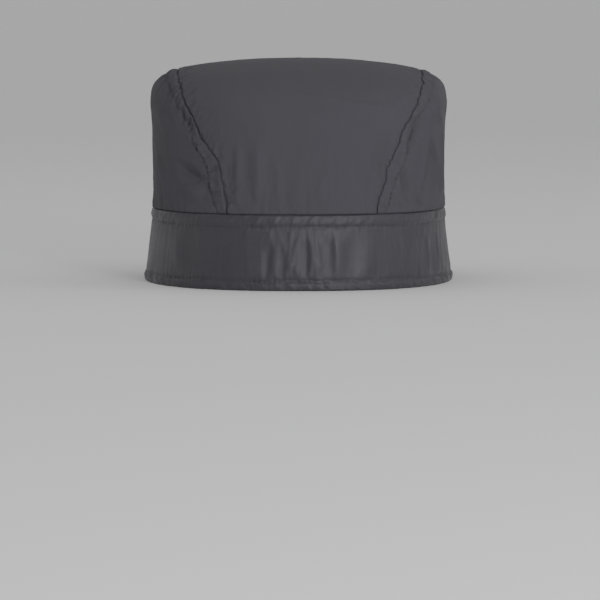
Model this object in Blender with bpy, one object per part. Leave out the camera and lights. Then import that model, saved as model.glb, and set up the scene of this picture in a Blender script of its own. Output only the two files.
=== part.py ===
"""A chef's skull cap: a centre panel, two side panels and a band, each one a wall of cloth.

Metres, +Z up. The cap stands on its rim, with its front towards -Y.

Every piece is cut flat on a disc and then formed over the head. The middle of the disc is the top
of the cap, ring 1 is the top edge of the band and RIM_RING is the rim. Angles run round from the
front, positive towards +X. On the disc a vertex's z is how far it stands out from the head form.
"""

import math

import bmesh
import bpy
import numpy as np

# Overall form, measured outside
RIM_WIDTH = 0.170
RIM_LENGTH = 0.208
CROWN_HEIGHT = 0.082
BAND_HEIGHT = 0.040
WIDEST_BEHIND_MIDDLE = 0.010

# Cloth
CROWN_WALL = 0.0012
BAND_WALL = 0.0016
FIT_GAP = 0.0003

# Seams
SEAM_ALLOWANCE = 0.006
SEAM_RAMP = 0.003
BAND_RAMP = 0.004
BAND_LAP = 0.0063
HEM_HEIGHT = 0.0051
ROLL = 0.0005

# Folds
FOLD_WIDTH = 0.010
FOLD_DEPTH = 0.002
FOLD_RUN_OUT = 0.006

# Looks, linear colour
CHARCOAL = (0.070, 0.068, 0.080)
BAND_CHARCOAL = (0.074, 0.072, 0.083)
CLOTH_ROUGHNESS = 0.80
SHARP_ANGLE = 50.0

# Fineness of the solids
SEAM_ROWS = 36
CENTRE_COLUMNS = 14
SIDE_COLUMNS = 10
TIP_ANGLE = 20.0
BAND_STATIONS = 100
BAND_FIELD_ROWS = 4
FOLD_STEPS = 6
CURVE_SAMPLES = 400
NORMAL_STEP = 0.002
ON_RING = 0.0001

RIM_RING = 1.25
LOWEST_CROWN_RING = 0.8
LEFT = -1
RIGHT = 1

# ring: radius on the disc. rise: share of CROWN_HEIGHT. drop: share of BAND_HEIGHT.
# front, back, side: reach as a share of the rim's. square: 2 is an ellipse, more is squarer.
# lean: how steeply the ring tips up towards the front.
RINGS = [
    # ring, rise, drop, front, back, side, square, lean
    (0.00, 1.000, 0.0, 0.000, 0.000, 0.000, 2.10, 0.030),
    (0.20, 0.982, 0.0, 0.330, 0.320, 0.400, 2.10, 0.030),
    (0.40, 0.928, 0.0, 0.600, 0.580, 0.750, 2.20, 0.030),
    (0.54, 0.846, 0.0, 0.775, 0.730, 0.920, 2.40, 0.030),
    (0.67, 0.721, 0.0, 0.890, 0.830, 0.960, 2.80, 0.030),
    (0.80, 0.546, 0.0, 0.955, 0.905, 0.950, 2.70, 0.020),
    (1.00, 0.000, 0.0, 0.985, 0.965, 0.948, 2.40, 0.000),
    (1.12, 0.000, 0.5, 0.994, 0.985, 0.972, 2.35, 0.000),
    (1.25, 0.000, 1.0, 1.000, 1.000, 1.000, 2.30, 0.000),
]

# The seams run over the cap from the band in front (-1) to the band behind (+1).
SEAMS = [
    # along, left half-width, right half-width
    (-1.00, 0.465, 0.490),
    (-0.90, 0.465, 0.492),
    (-0.76, 0.500, 0.510),
    (-0.66, 0.508, 0.506),
    (-0.48, 0.458, 0.465),
    (0.00, 0.425, 0.425),
    (0.50, 0.455, 0.455),
    (0.75, 0.492, 0.492),
    (1.00, 0.475, 0.475),
]

# A fold is a soft ridge, or a dent where its depth is negative, along a line on the cap.
# width and depth are shares of FOLD_WIDTH and FOLD_DEPTH.
FOLDS = [
    # name, from angle, from ring, to angle, to ring, width, depth
    ("left corner", -48.0, 0.55, -60.0, 0.58, 1.8, 1.5),
    ("left corner tuck", -47.0, 0.73, -40.0, 0.82, 0.9, -0.9),
    ("left cheek dent", -47.0, 0.87, -39.0, 0.90, 1.2, -1.1),
    ("left cheek fold", -47.0, 0.925, -38.0, 0.940, 0.9, 0.8),
    ("left brow dent", -25.0, 0.87, -24.0, 0.94, 0.9, -0.8),
    ("left brow ridge", -19.5, 0.87, -18.5, 0.94, 0.9, 0.7),
    ("right brow dent", 23.0, 0.84, 23.0, 0.94, 1.0, -0.5),
    ("shoulder crease", 12.0, 0.68, 37.0, 0.70, 0.9, 0.8),
    ("shoulder crease end", 37.0, 0.70, 43.0, 0.62, 0.8, 0.7),
    ("right seam tuck", 48.0, 0.76, 41.0, 0.88, 0.8, -0.8),
    ("right cheek ridge", 53.0, 0.78, 54.0, 0.94, 0.8, 0.8),
    ("right cheek dent", 59.0, 0.80, 60.0, 0.94, 0.8, -0.7),
    ("right ear ridge", 65.0, 0.80, 67.0, 0.94, 0.8, 0.7),
    ("right ear dent", 70.0, 0.62, 77.0, 0.78, 1.8, -1.0),
    ("right low wrinkle", 41.0, 0.95, 48.0, 0.94, 0.7, 0.5),
    ("band left ridge", -11.0, 1.07, -11.0, 1.19, 0.9, 0.6),
    ("band middle dent", 3.0, 1.07, 3.0, 1.19, 0.8, -0.7),
    ("band middle ridge", 8.5, 1.07, 8.5, 1.19, 0.8, 0.6),
    ("band right dent", 13.0, 1.07, 13.0, 1.19, 0.8, -0.5),
    ("band right ridge", 17.5, 1.07, 17.0, 1.19, 0.8, 0.5),
    ("band far dent", 22.5, 1.07, 22.0, 1.19, 0.8, -0.6),
    ("band far ridge", 42.0, 1.07, 41.0, 1.19, 0.9, 0.6),
    ("band ear dent", 50.0, 1.07, 49.0, 1.19, 0.9, -0.5),
    ("band ear ridge", 58.0, 1.07, 56.0, 1.19, 0.9, 0.5),
]


def smooth(x, xs, ys):
    """Read a smooth curve through the points xs, ys at x."""
    xs = np.asarray(xs, float)
    ys = np.asarray(ys, float)
    step = np.diff(xs)
    slope = np.diff(ys) / step
    inner = (slope[:-1] * step[1:] + slope[1:] * step[:-1]) / (step[1:] + step[:-1])
    tangent = np.concatenate([slope[:1], inner, slope[-1:]])
    x = np.clip(x, xs[0], xs[-1])
    i = np.clip(np.searchsorted(xs, x, side="right") - 1, 0, len(step) - 1)
    t = (x - xs[i]) / step[i]
    start = (2 * t**3 - 3 * t**2 + 1) * ys[i] + (t**3 - 2 * t**2 + t) * step[i] * tangent[i]
    end = (3 * t**2 - 2 * t**3) * ys[i + 1] + (t**3 - t**2) * step[i] * tangent[i + 1]
    return start + end


def ring_column(ring, index):
    """One column of RINGS, read at any ring."""
    rows = np.array(RINGS)
    return smooth(ring, rows[:, 0], rows[:, index])


def disc_point(angle, ring):
    """The point on the disc at an angle in degrees and a ring."""
    turn = np.radians(angle)
    return np.stack([ring * np.sin(turn), -ring * np.cos(turn)], -1)


def unit(vectors):
    return vectors / np.maximum(np.linalg.norm(vectors, axis=-1, keepdims=True), 1e-12)


def head_form(disc):
    """The smooth form under the folds, at points on the disc."""
    ring = np.hypot(disc[..., 0], disc[..., 1])
    away = np.maximum(ring, 1e-9)
    aside = disc[..., 0] / away
    ahead = np.where(ring > 0, -disc[..., 1] / away, 1.0)
    height = ring_column(ring, 1) * CROWN_HEIGHT + (1 - ring_column(ring, 2)) * BAND_HEIGHT
    front = ring_column(ring, 3) * (RIM_LENGTH / 2 + WIDEST_BEHIND_MIDDLE)
    back = ring_column(ring, 4) * (RIM_LENGTH / 2 - WIDEST_BEHIND_MIDDLE)
    side = ring_column(ring, 5) * RIM_WIDTH / 2
    square = ring_column(ring, 6)
    reach = (np.abs(aside) ** square + np.abs(ahead) ** square) ** (-1 / square)
    x = side * aside * reach
    y = -np.where(ahead > 0, front, back) * ahead * reach
    z = height - ring_column(ring, 7) * y
    return np.stack([x, y + WIDEST_BEHIND_MIDDLE, z], -1)


def outward(shape, disc):
    """The outward direction of a shape at points on the disc."""
    east = np.array([NORMAL_STEP, 0.0])
    north = np.array([0.0, NORMAL_STEP])
    across = shape(disc + east) - shape(disc - east)
    along = shape(disc + north) - shape(disc - north)
    return unit(np.cross(across, along))


def distance_to_line(points, line):
    """How far each point lies from a line of points."""
    nearest = np.full(points.shape[:-1], np.inf)
    for start, end in zip(line[:-1], line[1:]):
        run = end - start
        share = np.clip((points - start) @ run / (run @ run), 0, 1)
        gap = np.linalg.norm(points - start - share[..., None] * run, axis=-1)
        nearest = np.minimum(nearest, gap)
    return nearest


def freedom_to_fold(points):
    """0 where the band is stitched to the crown, which holds the cloth flat, and 1 away from it."""
    above = points[..., 2] - BAND_HEIGHT
    below = BAND_HEIGHT - BAND_LAP - points[..., 2]
    share = np.clip(np.maximum(above, below) / FOLD_RUN_OUT, 0, 1)
    return share * share * (3 - 2 * share)


def fold_lift(points):
    """How far the folds lift the cloth at points on the head form."""
    lift = np.zeros(points.shape[:-1])
    for _, angle_from, ring_from, angle_to, ring_to, width, depth in FOLDS:
        angles = np.linspace(angle_from, angle_to, FOLD_STEPS)
        rings = np.linspace(ring_from, ring_to, FOLD_STEPS)
        away = distance_to_line(points, head_form(disc_point(angles, rings)))
        share = np.clip(away / (width * FOLD_WIDTH), 0, 1)
        lift += depth * FOLD_DEPTH * np.cos(share * math.pi / 2) ** 2
    return lift * freedom_to_fold(points)


def cloth_form(disc):
    """The head form with the folds in it."""
    base = head_form(disc)
    return base + fold_lift(base)[..., None] * outward(head_form, disc)


def ring_at(height):
    """The ring at a height above the rim, on the band or low on the crown."""
    rings = np.linspace(LOWEST_CROWN_RING, RIM_RING, CURVE_SAMPLES)
    heights = ring_column(rings, 1) * CROWN_HEIGHT + (1 - ring_column(rings, 2)) * BAND_HEIGHT
    return float(np.interp(-height, -heights, rings))


def foot_ring():
    """The ring where the crown starts to dip in behind the band."""
    return ring_at(BAND_HEIGHT + BAND_RAMP)


def seam_point(side, along):
    """The disc point of the left or right seam, from its foot in front (-1) to that behind (+1)."""
    rows = np.array(SEAMS)
    widths = rows[:, 1] if side == LEFT else rows[:, 2]
    half = smooth(along, rows[:, 0], widths)
    end = np.where(np.asarray(along) < 0, widths[0], widths[-1])
    return np.stack([side * half, along * np.sqrt(foot_ring()**2 - end**2)], -1)


def beside_seam(side, along, distance):
    """The disc point at a distance from a seam, positive towards the side panel."""
    point = seam_point(side, along)
    ahead = seam_point(side, np.clip(along + NORMAL_STEP, -1, 1))
    behind = seam_point(side, np.clip(along - NORMAL_STEP, -1, 1))
    east = np.array([NORMAL_STEP, 0.0])
    north = np.array([0.0, NORMAL_STEP])
    by_x = (head_form(point + east) - head_form(point - east)) / (2 * NORMAL_STEP)
    by_y = (head_form(point + north) - head_form(point - north)) / (2 * NORMAL_STEP)
    seam_run = unit(head_form(ahead) - head_form(behind))
    square_to_seam = side * np.cross(seam_run, unit(np.cross(by_x, by_y)))
    disc_per_metre = np.linalg.pinv(np.stack([by_x, by_y], -1))
    step = (disc_per_metre @ square_to_seam[..., None])[..., 0]
    moved = point + distance * step
    on_foot = unit(moved) * foot_ring()
    return np.where(np.abs(along)[..., None] == 1, on_foot, moved)


def even_stations(curve, start, end, count):
    """Values from start to end that divide a curve on the disc into equal real lengths."""
    values = np.linspace(start, end, CURVE_SAMPLES)
    points = head_form(curve(values))
    lengths = np.linalg.norm(np.diff(points, axis=0), axis=1)
    travelled = np.concatenate([[0.0], np.cumsum(lengths)])
    return np.interp(np.linspace(0, travelled[-1], count + 1), travelled, values)


def arc_on_foot(angle_from, angle_to, count):
    """Disc points along the crown's foot, evenly spaced on the cap."""
    ring = foot_ring()
    angles = even_stations(lambda a: disc_point(a, ring), angle_from, angle_to, count)
    return disc_point(angles, ring)


def angle_of(point):
    """The angle of a disc point, in degrees."""
    return math.degrees(math.atan2(point[0], -point[1]))


def fill_between(start_edge, end_edge, first_row, last_row):
    """A grid of disc points between four edges that meet at their ends."""
    u = np.linspace(0, 1, len(start_edge))[:, None, None]
    v = np.linspace(0, 1, len(first_row))[None, :, None]
    across = (1 - v) * start_edge[:, None] + v * end_edge[:, None]
    along = (1 - u) * first_row[None] + u * last_row[None]
    corners = ((1 - u) * ((1 - v) * start_edge[0] + v * end_edge[0])
               + u * ((1 - v) * start_edge[-1] + v * end_edge[-1]))
    return across + along - corners


def lay_sheet(bm, disc, lift):
    """Lay a grid of faces on the disc, one vertex to each point, and give each its lift."""
    rows, columns = disc.shape[:2]
    bmesh.ops.create_grid(bm, x_segments=columns - 1, y_segments=rows - 1, size=1.0)
    lift = np.broadcast_to(lift, (rows, columns))
    for vertex, point, height in zip(bm.verts, disc.reshape(-1, 2), lift.reshape(-1)):
        vertex.co = (point[0], point[1], height)


def new_vertices(grown):
    """The vertices that an extrusion made."""
    return [item for item in grown["geom"] if isinstance(item, bmesh.types.BMVert)]


def tuck_under_band(bm):
    """Dip the crown's foot in behind the band, and carry it down inside."""
    ring = foot_ring()
    edges = [e for e in bm.edges if e.is_boundary
             and all(abs(v.co.xy.length - ring) < ON_RING for v in e.verts)]
    for next_ring, dip in ((1.0, BAND_WALL + FIT_GAP), (ring_at(BAND_HEIGHT - BAND_LAP), 0.0)):
        grown = bmesh.ops.extrude_edge_only(bm, edges=edges)
        for vertex in new_vertices(grown):
            vertex.co.xy *= next_ring / ring
            vertex.co.z -= dip
        edges = [item for item in grown["geom"]
                 if isinstance(item, bmesh.types.BMEdge) and item.is_boundary
                 and all(abs(v.co.xy.length - next_ring) < ON_RING for v in item.verts)]
        ring = next_ring


def thicken(bm, other_lift):
    """Close the sheet into a wall. other_lift gives the lift of each vertex's twin."""
    for vertex in new_vertices(bmesh.ops.extrude_face_region(bm, geom=bm.faces[:])):
        vertex.co.z = other_lift(vertex.co)
    bmesh.ops.recalc_face_normals(bm, faces=bm.faces[:])


def form_over_head(bm):
    """Bend the flat wall over the head, and flatten the rim where the cap rests on it."""
    flat = np.array([vertex.co for vertex in bm.verts])
    disc = flat[:, :2]
    formed = cloth_form(disc) + flat[:, 2:] * outward(cloth_form, disc)
    on_rim = np.hypot(disc[:, 0], disc[:, 1]) > RIM_RING - ON_RING
    formed[on_rim, 2] = 0.0
    for vertex, place in zip(bm.verts, formed):
        vertex.co = place


def cut_centre_panel(bm):
    """The strip from the front band over the top to the back band.

    Beside each seam it ramps down and runs on as an allowance behind the side panel.
    """
    along = even_stations(lambda t: seam_point(RIGHT, t), -1, 1, SEAM_ROWS)
    under = -(CROWN_WALL + FIT_GAP)
    ramp = [(-SEAM_RAMP, 0.0), (-FIT_GAP, under), (SEAM_ALLOWANCE, under)]
    left = [beside_seam(LEFT, along, distance) for distance, _ in reversed(ramp)]
    right = [beside_seam(RIGHT, along, distance) for distance, _ in ramp]
    front = arc_on_foot(angle_of(left[-1][0]), angle_of(right[0][0]), CENTRE_COLUMNS)
    back_left = angle_of(left[-1][-1]) + 360
    back = arc_on_foot(back_left, angle_of(right[0][-1]), CENTRE_COLUMNS)
    field = fill_between(left[-1], right[0], front, back)
    edges_left = np.stack(left[:-1], 1)
    edges_right = np.stack(right[1:], 1)
    lifts = [lift for _, lift in ramp[1:]]
    lift = np.concatenate([lifts[::-1], np.zeros(CENTRE_COLUMNS + 1), lifts])
    lay_sheet(bm, np.concatenate([edges_left, field, edges_right], 1), lift)


def cut_side_panel(bm, side):
    """The panel between one seam and the band, over one ear."""
    along = even_stations(lambda t: seam_point(RIGHT, t), -1, 1, SEAM_ROWS)
    seam = seam_point(side, along)
    inner = beside_seam(side, along, SEAM_ALLOWANCE)
    front_angle = angle_of(inner[0])
    back_angle = angle_of(inner[-1])
    front_turn = front_angle + side * TIP_ANGLE
    back_turn = back_angle - side * TIP_ANGLE
    outer = arc_on_foot(front_turn, back_turn, SEAM_ROWS)
    front = arc_on_foot(front_angle, front_turn, SIDE_COLUMNS)
    back = arc_on_foot(back_angle, back_turn, SIDE_COLUMNS)
    field = fill_between(inner, outer, front, back)
    sheet = np.concatenate([seam[:, None], field], 1)
    lay_sheet(bm, sheet[:, ::side], 0.0)


def build_centre_panel():
    bm = bmesh.new()
    cut_centre_panel(bm)
    tuck_under_band(bm)
    thicken(bm, lambda place: place.z - CROWN_WALL)
    form_over_head(bm)
    return bm


def build_side_panel(side):
    bm = bmesh.new()
    cut_side_panel(bm, side)
    tuck_under_band(bm)
    thicken(bm, lambda place: place.z - CROWN_WALL)
    form_over_head(bm)
    return bm


def build_band():
    """The band round the cap, with its stitched top strip and its hem rolled out a little."""
    strip_foot = BAND_HEIGHT - BAND_LAP
    field = np.linspace(HEM_HEIGHT, strip_foot, BAND_FIELD_ROWS)
    heights = [0.0, HEM_HEIGHT / 2, *field, BAND_HEIGHT - BAND_LAP / 2, BAND_HEIGHT]
    rolls = [ROLL / 2, ROLL, *np.zeros(BAND_FIELD_ROWS), ROLL, ROLL / 2]
    rings = np.array([ring_at(height) for height in heights])
    rings[0] = RIM_RING
    angles = even_stations(lambda a: disc_point(a, RIM_RING), -180, 180, BAND_STATIONS)
    disc = disc_point(angles[:, None], rings[None, :])

    def roll_at(place):
        return float(np.interp(-place.xy.length, -rings, rolls))

    bm = bmesh.new()
    lay_sheet(bm, disc, -BAND_WALL)
    bmesh.ops.remove_doubles(bm, verts=bm.verts[:], dist=1e-6)
    thicken(bm, roll_at)
    form_over_head(bm)
    return bm


def cloth(piece_name, colour):
    """A plain woven-cloth material."""
    material = bpy.data.materials.new(piece_name + "_cloth")
    material.use_nodes = True
    shader = material.node_tree.nodes["Principled BSDF"]
    shader.inputs["Base Color"].default_value = (*colour, 1.0)
    shader.inputs["Roughness"].default_value = CLOTH_ROUGHNESS
    shader.inputs["Metallic"].default_value = 0.0
    material.diffuse_color = (*colour, 1.0)
    return material


def add_piece(collection, name, bm, colour):
    mesh = bpy.data.meshes.new(name)
    bm.to_mesh(mesh)
    bm.free()
    mesh.shade_smooth()
    mesh.set_sharp_from_angle(angle=math.radians(SHARP_ANGLE))
    mesh.materials.append(cloth(name, colour))
    collection.objects.link(bpy.data.objects.new(name, mesh))


def main():
    for old in list(bpy.data.objects):
        bpy.data.objects.remove(old)
    collection = bpy.data.collections.new("chef_skull_cap")
    bpy.context.scene.collection.children.link(collection)
    add_piece(collection, "centre_panel", build_centre_panel(), CHARCOAL)
    add_piece(collection, "side_panel_left", build_side_panel(LEFT), CHARCOAL)
    add_piece(collection, "side_panel_right", build_side_panel(RIGHT), CHARCOAL)
    add_piece(collection, "band", build_band(), BAND_CHARCOAL)


main()
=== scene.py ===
"""A chef's skull cap in charcoal cloth: its panels, band and stitches, on a pale studio floor.

Metres, +Z up, front towards -Y. Run as a script; the sidebar panel lists what it builds.

As in the solids, every piece of cloth is cut flat on a disc and then formed over the head. The
middle of the disc is the top of the cap, ring 1 is the top edge of the band and RIM_RING is the
rim. Angles run round from the front, positive towards +X.
"""

import math

import bmesh
import bpy
import numpy as np
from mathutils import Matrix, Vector


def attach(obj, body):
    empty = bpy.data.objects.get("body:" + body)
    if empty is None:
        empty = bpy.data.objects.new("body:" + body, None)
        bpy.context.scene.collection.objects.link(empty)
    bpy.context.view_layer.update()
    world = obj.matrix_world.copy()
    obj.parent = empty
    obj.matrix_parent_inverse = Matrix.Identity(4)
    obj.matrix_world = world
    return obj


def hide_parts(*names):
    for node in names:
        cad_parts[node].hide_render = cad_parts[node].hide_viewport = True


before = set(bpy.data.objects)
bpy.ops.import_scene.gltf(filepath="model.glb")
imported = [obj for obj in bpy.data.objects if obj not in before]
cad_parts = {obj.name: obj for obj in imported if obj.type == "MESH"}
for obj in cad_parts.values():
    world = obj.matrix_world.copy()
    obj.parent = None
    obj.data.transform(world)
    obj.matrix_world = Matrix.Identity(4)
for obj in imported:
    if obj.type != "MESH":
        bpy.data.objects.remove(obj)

bl_info = {
    "name": "Chef Skull Cap",
    "version": (1, 0, 0),
    "blender": (4, 5, 0),
    "location": "3D View > Sidebar > Skull Cap",
    "description": "Builds a cloth skull cap, its stitching and a studio floor",
    "category": "Object",
}

RIM_RING = 1.25
LOWEST_CROWN_RING = 0.8
CURVE_SAMPLES = 600
NORMAL_STEP = 0.002
ON_RING = 0.0001
FOOT_SHARE = 0.2
DISC_PER_METRE = 11.3
LEFT = -1
RIGHT = 1

# Metres. How the crown dips in behind the band, above (or below) the band's top edge.
FOOT_ABOVE_BAND = 0.004
TUCK_END = -0.0006
TUCK_RUN = 0.0014
BEHIND_BAND = (0.0028, 0.0018, 0.0012, 0.0008, 0.0005, 0.0002, -0.0001, -0.0003, -0.0006,
               -0.002, -0.0045, -0.0075)
BAND_GAP = 0.0002

# Metres. The seams: the left one is sewn slack, puckers most and wobbles in shorter steps.
CLOTH_GAP = 0.00015
SEAM_DIP = {LEFT: 0.0018, RIGHT: 0.0024}
GATHERING = {LEFT: 2.7, RIGHT: 1.5}
WOBBLE_STEP = {LEFT: 0.0030, RIGHT: 0.0058}
FINE_WOBBLE_STEP = 0.0019
WOBBLE_SHARE = 0.15
WOBBLE_REACH = 0.005
SEAM_KNOTS = 80

# Metres. How far the hem rises from the floor.
RIM_UNEVENNESS = 0.0005

# Metres. How far from a row of stitches its groove and its puckers reach.
SEAM_GROOVE_REACH = 0.0009
BAND_GROOVE_REACH = 0.0008
JOIN_GROOVE_REACH = 0.0007
PUCKER_REACH = 0.0055
BAND_PUCKER_REACH = 0.0035

# The random field repeats after this many units.
FIELD_SIZE = 61

# ring: radius on the disc. rise: share of the crown's height. drop: share of the band's height.
# front, back, side: reach as a share of the rim's. square: 2 is an ellipse, more is squarer.
# lean: how steeply the ring tips up towards the front.
RINGS = [
    # ring, rise, drop, front, back, side, square, lean
    (0.00, 1.000, 0.0, 0.000, 0.000, 0.000, 2.10, 0.030),
    (0.20, 0.982, 0.0, 0.330, 0.320, 0.400, 2.10, 0.030),
    (0.40, 0.928, 0.0, 0.600, 0.580, 0.750, 2.20, 0.030),
    (0.54, 0.846, 0.0, 0.775, 0.730, 0.920, 2.40, 0.030),
    (0.67, 0.721, 0.0, 0.890, 0.830, 0.960, 2.80, 0.030),
    (0.80, 0.546, 0.0, 0.955, 0.905, 0.950, 2.70, 0.020),
    (1.00, 0.000, 0.0, 0.985, 0.965, 0.948, 2.40, 0.000),
    (1.12, 0.000, 0.5, 0.994, 0.985, 0.972, 2.35, 0.000),
    (1.25, 0.000, 1.0, 1.000, 1.000, 1.000, 2.30, 0.000),
]

# The seams run over the cap from the band in front (-1) to the band behind (+1), and wander a
# few millimetres as sewn.
SEAMS = [
    # along, left half-width, right half-width
    (-1.00, 0.446, 0.490),
    (-0.90, 0.440, 0.499),
    (-0.76, 0.497, 0.520),
    (-0.66, 0.490, 0.515),
    (-0.48, 0.440, 0.462),
    (0.00, 0.425, 0.425),
    (0.50, 0.455, 0.455),
    (0.75, 0.492, 0.492),
    (1.00, 0.475, 0.475),
]

# The strip between a seam and its stitches, as a share of the settings' strip width.
STRIPS = [
    # share of the seam from its front foot, left, right
    (0.000, 1.15, 1.05),
    (0.050, 1.45, 1.08),
    (0.080, 1.30, 1.30),
    (0.120, 1.05, 1.50),
    (0.160, 0.88, 1.36),
    (0.200, 0.78, 1.10),
    (0.300, 0.92, 1.00),
    (1.000, 1.00, 1.00),
]

# A fold is a ridge, or a dent where its depth is negative, along a line on the cap.
# width and depth are shares of the settings' fold width and depth. sharp: 0 is round, 1 is a crest.
FOLDS = [
    # name, width, depth, sharp, line through points of (angle, ring)
    ("left corner", 1.6, 0.7, 0.2, ((-48.0, 0.55), (-60.0, 0.58))),
    ("left corner dent", 0.7, -0.6, 0.3, ((-56.0, 0.61), (-48.0, 0.67))),
    ("left corner tuck", 0.8, -0.8, 0.5, ((-47.0, 0.73), (-40.0, 0.82))),
    ("left temple fold", 0.9, 0.65, 0.4, ((-62.0, 0.72), (-52.0, 0.83))),
    ("left cheek dent", 0.75, -1.43, 0.4, ((-49.0, 0.890), (-41.0, 0.918), (-35.0, 0.930))),
    ("left cheek fold", 0.8, 0.91, 0.3, ((-47.0, 0.940), (-36.0, 0.955))),
    ("left ear fold", 0.7, 0.65, 0.5, ((-66.0, 0.86), (-58.0, 0.94), (-56.0, 0.98))),
    ("left outer pleat", 0.45, 0.65, 0.5, ((-28.6, 0.875), (-28.9, 0.915), (-28.2, 0.965))),
    ("left brow pleat", 0.50, 0.85, 0.6, ((-22.4, 0.850), (-22.4, 0.920), (-22.8, 0.985))),
    ("left inner pleat", 0.50, 0.75, 0.5, ((-15.6, 0.840), (-15.0, 0.910), (-15.4, 0.970))),
    ("brow pleat", 0.45, 0.40, 0.4, ((-8.6, 0.87), (-8.0, 0.93), (-8.8, 0.98))),
    ("middle pleat", 0.55, 0.22, 0.3, ((0.5, 0.90), (-0.5, 0.98))),
    ("right inner pleat", 0.50, 0.25, 0.4, ((9.0, 0.91), (8.0, 0.98))),
    ("right brow dent", 0.8, -0.5, 0.3, ((20.5, 0.88), (23.8, 0.955), (25.2, 0.985))),
    ("right seam shade", 0.80, -1.10, 0.4, ((33.0, 0.83), (30.5, 0.89), (32.0, 0.93))),
    ("shoulder crease", 0.40, 0.56, 0.8,
     ((2.5, 0.652), (11.8, 0.683), (19.8, 0.712), (31.8, 0.719), (41.5, 0.652))),
    ("right seam tuck", 0.60, -1.50, 0.4, ((48.0, 0.76), (41.0, 0.88))),
    ("right temple ridge", 0.42, 1.55, 0.7,
     ((51.5, 0.675), (51.0, 0.763), (50.2, 0.858), (48.4, 0.930), (47.4, 0.972))),
    ("right crown ridge", 0.50, 1.10, 0.6, ((59.5, 0.660), (56.8, 0.740), (64.2, 0.803))),
    ("right cheek ridge", 0.38, 1.45, 0.7,
     ((53.0, 0.814), (55.8, 0.865), (58.5, 0.900), (59.0, 0.960))),
    ("right cheek dent", 0.45, -1.50, 0.5, ((53.0, 0.850), (53.0, 0.935))),
    ("right ear ridge", 0.50, 1.25, 0.6, ((66.0, 0.79), (65.0, 0.88), (67.0, 0.97))),
    ("right ear dent", 1.6, -0.9, 0.2, ((70.0, 0.62), (77.0, 0.78))),
    ("right low wrinkle", 0.28, 0.50, 0.6, ((36.2, 0.949), (38.5, 0.965), (41.2, 0.986))),
    ("right low dent", 0.50, -1.20, 0.4, ((40.0, 0.895), (41.5, 0.935), (43.2, 0.968))),
    ("right low fold", 0.38, 0.75, 0.6, ((45.2, 0.944), (48.8, 0.972), (53.2, 0.990))),
    ("band left ridge", 0.8, 0.40, 0.3, ((-49.0, 1.06), (-46.5, 1.20))),
    ("band left crease", 0.22, 0.24, 0.8, ((-28.9, 1.07), (-29.4, 1.20))),
    ("band brow dent", 0.38, -0.40, 0.4, ((-10.6, 1.09), (-11.6, 1.21))),
    ("band brow ridge", 0.40, 0.22, 0.4, ((-7.5, 1.06), (-8.0, 1.20))),
    ("band first line", 0.22, 0.08, 0.8, ((-5.4, 1.07), (-5.3, 1.13))),
    ("band second line", 0.26, 0.16, 0.8, ((-3.0, 1.07), (-3.2, 1.19))),
    ("band third line", 0.30, 0.26, 0.8, ((-0.6, 1.06), (-0.8, 1.165), (-0.4, 1.21))),
    ("band middle dent", 0.30, -0.30, 0.4, ((3.0, 1.06), (2.8, 1.20))),
    ("band middle ridge", 0.50, 0.50, 0.5, ((5.4, 1.05), (5.8, 1.13), (6.3, 1.215))),
    ("band right dent", 0.35, -0.30, 0.4, ((10.2, 1.06), (9.8, 1.20))),
    ("band right ridge", 0.50, 0.42, 0.5, ((13.5, 1.055), (14.0, 1.14), (13.8, 1.215))),
    ("band far dent", 0.60, -0.30, 0.3, ((20.0, 1.06), (20.0, 1.20))),
    ("band far ridge", 0.85, 0.40, 0.3, ((27.0, 1.055), (26.0, 1.21))),
    ("band temple ridge", 0.42, 0.42, 0.6, ((40.2, 1.05), (39.3, 1.215))),
    ("band temple fold", 0.36, 0.36, 0.6, ((45.6, 1.08), (44.4, 1.215))),
    ("band ear ridge", 0.36, 0.36, 0.6, ((53.8, 1.06), (51.8, 1.215))),
    ("band ear fold", 0.34, 0.34, 0.6, ((61.0, 1.06), (59.4, 1.215))),
    ("band rear ridge", 0.60, 0.40, 0.5, ((-118.0, 1.06), (-116.0, 1.21))),
    ("band nape ridge", 0.60, 0.40, 0.5, ((157.0, 1.06), (155.0, 1.21))),
]

# Wrinkles too fine for the solids: random ripples of the cloth.
# step: metres, about two thirds of a ripple's length. lift: share of the settings' wrinkle depth.
# sharp: how far the crests are pinched. centre and reach, in degrees: where round the cap the
# ripple is strongest, and how far it spreads.
BAND_RIPPLES = [
    # name, step, lift, sharp, centre, reach
    ("broad", 0.014, 1.2, 0.3, 30.0, 200.0),
    ("middle", 0.0055, 1.4, 0.5, 4.0, 13.0),
    ("middle fine", 0.0026, 0.40, 0.8, 1.0, 10.0),
    ("right", 0.0060, 1.1, 0.6, 52.0, 24.0),
    ("right fine", 0.0030, 0.35, 0.8, 50.0, 20.0),
    ("left", 0.0090, 0.6, 0.5, -40.0, 30.0),
    ("behind", 0.0080, 1.0, 0.5, 180.0, 80.0),
]
CROWN_RIPPLES = [
    # name, step across, step along, lift, sharp
    ("slack", 0.030, 0.030, 1.6, 0.2),
    ("drag", 0.011, 0.026, 0.8, 0.6),
    ("crumple", 0.007, 0.010, 0.55, 0.6),
    ("grain", 0.0032, 0.0050, 0.16, 0.3),
]


def metres(name, description, default, least=0.0):
    return bpy.props.FloatProperty(
        name=name, description=description, default=default, min=least, unit="LENGTH")


def colour(name, description, default):
    return bpy.props.FloatVectorProperty(
        name=name, description=description, subtype="COLOR", size=3, min=0.0, max=1.0,
        default=default)


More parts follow.
